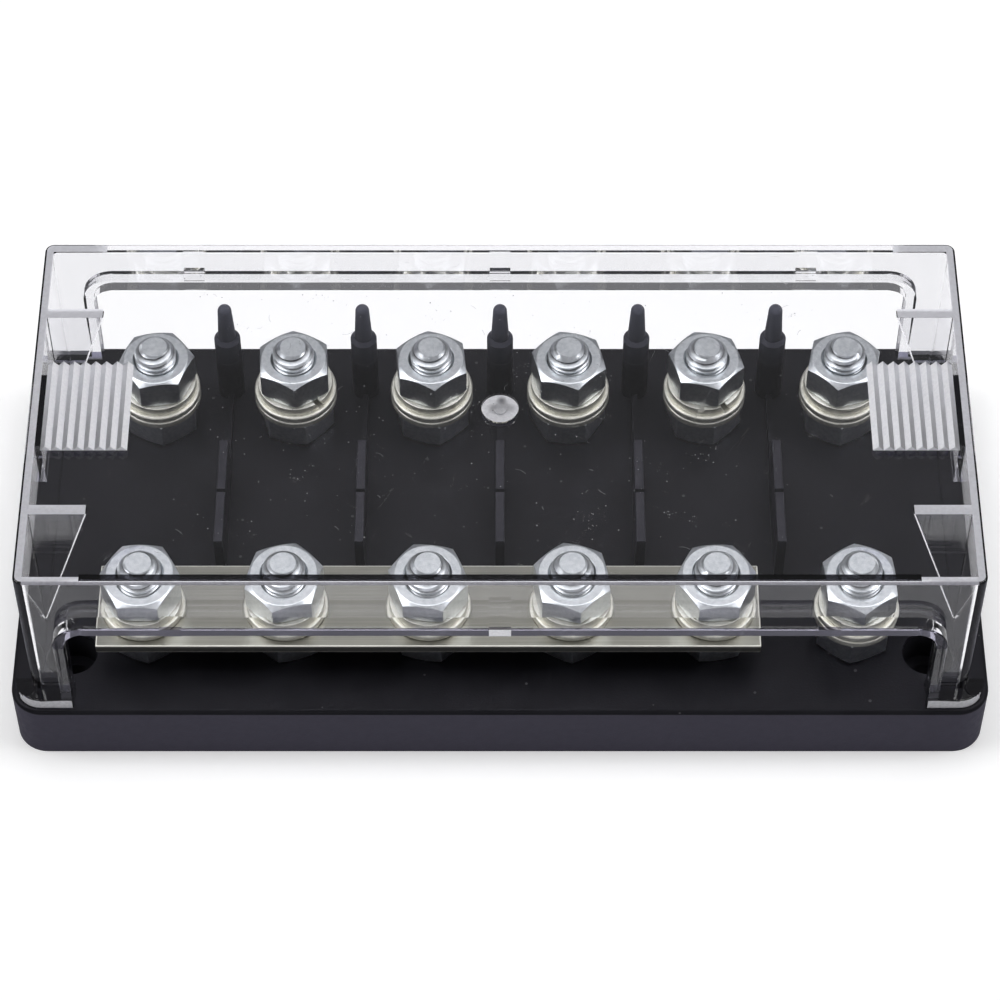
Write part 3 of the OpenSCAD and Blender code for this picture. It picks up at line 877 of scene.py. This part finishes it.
flat_x = max(abs(v.co.x) for f in plate_faces() for v in f.verts)
flat_y = max(abs(v.co.y) for f in plate_faces() for v in f.verts)
end_line, front_line, rear_line = flat_x - 1.3 * MM, 1 * MM - flat_y, flat_y - 1.6 * MM
gusset_x, gusset_y = flat_x - 11.7 * MM, 23 * MM
gusset_lines = [(y - 1.5 * MM, y + 0.6 * MM) for y in (-gusset_y, gusset_y)]
cuts = [((1, 0, 0), side * x) for x in (end_line, shade_line_reach, gusset_x) for side in (-1, 1)]
cuts += [((0, 1, 0), y) for y in (front_line, rear_line, *gusset_lines[0], *gusset_lines[1])]
for across, reach in cuts:
    cut_across(plate_faces(), across, reach)

upright = [f for f in shape.faces if abs(f.normal.y) > 0.99]
lip_fronts = [f for f in upright if abs(abs(f.calc_center_median().y) - lip_face) < close]
cut_across(lip_fronts, (0, 0, 1), foot_z)
shape.normal_update()

# %% Choose the finish of every face of the cover
cover_finishes = [clear_moulding, frosted_moulding, lit_rib_faces, sunk_lines, hazy_slopes, violet_rim]
gate_reach, gate_low, gate_widest = 3.4 * MM, 48 * MM, 4 * MM
pad_y, pad_low, pad_high, pad_widest = -42 * MM, 36 * MM, 42 * MM, 2.1 * MM
foot_depth, rim_depth = 2 * MM, 0.5 * MM


def is_sunk(spot):
    """True above a gusset, an end wall, or a long wall beside its cable opening."""
    over_end = abs(spot.x) > end_line
    over_long_wall = abs(spot.x) > shade_line_reach and not front_line < spot.y < rear_line
    over_gusset = abs(spot.x) > gusset_x and any(low < spot.y < high for low, high in gusset_lines)
    return over_end or over_long_wall or over_gusset


def is_frosted(spot, out, reach):
    """True at the gate, on the middle pad of the front lip and on the outer rims of the feet."""
    in_gate = math.hypot(spot.x, spot.y) < gate_reach and gate_low < spot.z < plate_top
    on_front = spot.y < pad_y and pad_low < spot.z < pad_high and abs(spot.x) < 1 * MM
    foot_side = spot.z < foot_z - margin and abs(out.z) < 0.5 and out.y * spot.y > 0
    on_rim = foot_side and abs(spot.y) > lip_face - foot_depth
    return in_gate and reach < gate_widest or on_front and reach < pad_widest or on_rim


def finish_of(face):
    """The finish that a face of the cover shows in the photograph."""
    spot, out = face.calc_center_median(), face.normal
    reach = max(abs(v.co.x - spot.x) for v in face.verts)
    if spot.z > plate_top + margin:
        # Painted highlight: rib faces towards the middle, and rib ends, get the milky white finish.
        faces_inwards = out.x * spot.x < -margin
        return lit_rib_faces if faces_inwards or abs(out.y) > 0.9 else hazy_slopes
    if on_plate(face):
        return sunk_lines if is_sunk(spot) else clear_moulding
    if spot.y < -flat_y and spot.z > plate_top - rim_depth and abs(spot.x) < shade_line_reach:
        return violet_rim
    return frosted_moulding if is_frosted(spot, out, reach) else clear_moulding


for face in shape.faces:
    face.material_index = cover_finishes.index(finish_of(face))
for number, finish in enumerate(cover_finishes):
    print(finish.name, "faces:", sum(f.material_index == number for f in shape.faces))
cover = make_piece("clear_cover", shape, clear_moulding, "cover", ["cover"], None)
for finish in cover_finishes[1:]:
    cover.data.materials.append(finish)

# %% [markdown]
# A little dust lies on the top plate: pale specks and a few curled fibres. Painting it into the clear
# finish would only change its gloss, and dust scatters light. So the specks are small flattened balls,
# some strewn and most in smudges, and the fibres are thin bent rods, all in one piece that rides on
# the cover. Places are drawn by lot in millimetres.

# %% Dust on the cover
dust_grey, tree, shader = new_finish("dust_grey")
tone = blend_colour(tree, effect(tree, mottle, Scale=900), (0.15, 0.15, 0.16), (0.4, 0.4, 0.42))
tree.links.new(tone, shader.inputs["Base Color"])
shader.inputs["Roughness"].default_value = 0.9
lots = random.Random(11)
strewn, all_specks, all_fibres = 500, 1200, 50
speck_reach, fibre_reach = (60, 32), (64, 36)
fibre_thick, fibre_lift, full_turn = 0.025 * MM, 0.002 * MM, 6.28


def anywhere(reach_x, reach_y):
    """A place drawn by lot within a reach either way."""
    return lots.uniform(-reach_x, reach_x), lots.uniform(-reach_y, reach_y)


shape = bmesh.new()
smudges = [(*anywhere(*speck_reach), lots.uniform(1, 5)) for _ in range(30)]
for number in range(all_specks):
    x, y, wide = smudges[number % len(smudges)] if number > strewn else (*anywhere(*speck_reach), 3)
    place = Matrix.Translation((lots.gauss(x, wide / 2) * MM, lots.gauss(y, wide / 3) * MM, plate_top))
    size = (0.035 + 0.12 * lots.random() ** 4) * MM
    flat = Matrix.Diagonal((1, lots.uniform(0.5, 1), 0.3, 1))
    bmesh.ops.create_icosphere(shape, subdivisions=1, radius=size, matrix=place @ flat)
for _ in range(all_fibres):
    old = set(shape.verts)
    bend = lots.uniform(0.5, 2.2) * MM
    section = [(bend, 0), (bend + 2 * fibre_thick, 0), (bend + fibre_thick, fibre_thick), (bend, 0)]
    start = [shape.verts.new((r, 0, z)) for r, z in section]
    spin_round(shape, start, lots.uniform(0.4, 1.4), 6, 0.0, False)
    made = welded_since(shape, old)
    turn = Matrix.Rotation(lots.uniform(0, full_turn), 3, "Z")
    bmesh.ops.rotate(shape, cent=(0, 0, 0), matrix=turn, verts=made)
    x, y = anywhere(*fibre_reach)
    bmesh.ops.translate(shape, vec=(x * MM, y * MM, plate_top + fibre_lift), verts=made)
bmesh.ops.holes_fill(shape, edges=[e for e in shape.edges if e.is_boundary], sides=3)
make_piece("cover_dust", shape, dust_grey, "cover", [], None)
print("dust:", all_specks, "specks and", all_fibres, "fibres")

# %% [markdown]
# The base keeps the roundings that the CAD gave it. Only the long top edges of its dividers are still
# sharp, and they catch the light through the cover, so these alone are broken here.

# %% Black base
def on_divider(middle, run):
    """True along the long top edges of the upright dividers."""
    return abs(middle.z - divider_top) < close and abs(run.y) > 5 * MM


shape = copied_shape("base")
broken = break_edges(shape, 0.25 * MM, on_divider)
make_piece("black_base", shape, black_moulding, "base", ["base"], None)
print("edges broken on the base:", broken)

# %% [markdown]
# ## The size at the end
# The dressed holder must keep the CAD's size, so its growth over the CAD box is printed.

# %% Sizes and finish
low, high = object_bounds()
print("grown by mm:", [round((b - a) / MM, 3) for a, b in zip(cad_high - cad_low, high - low)])
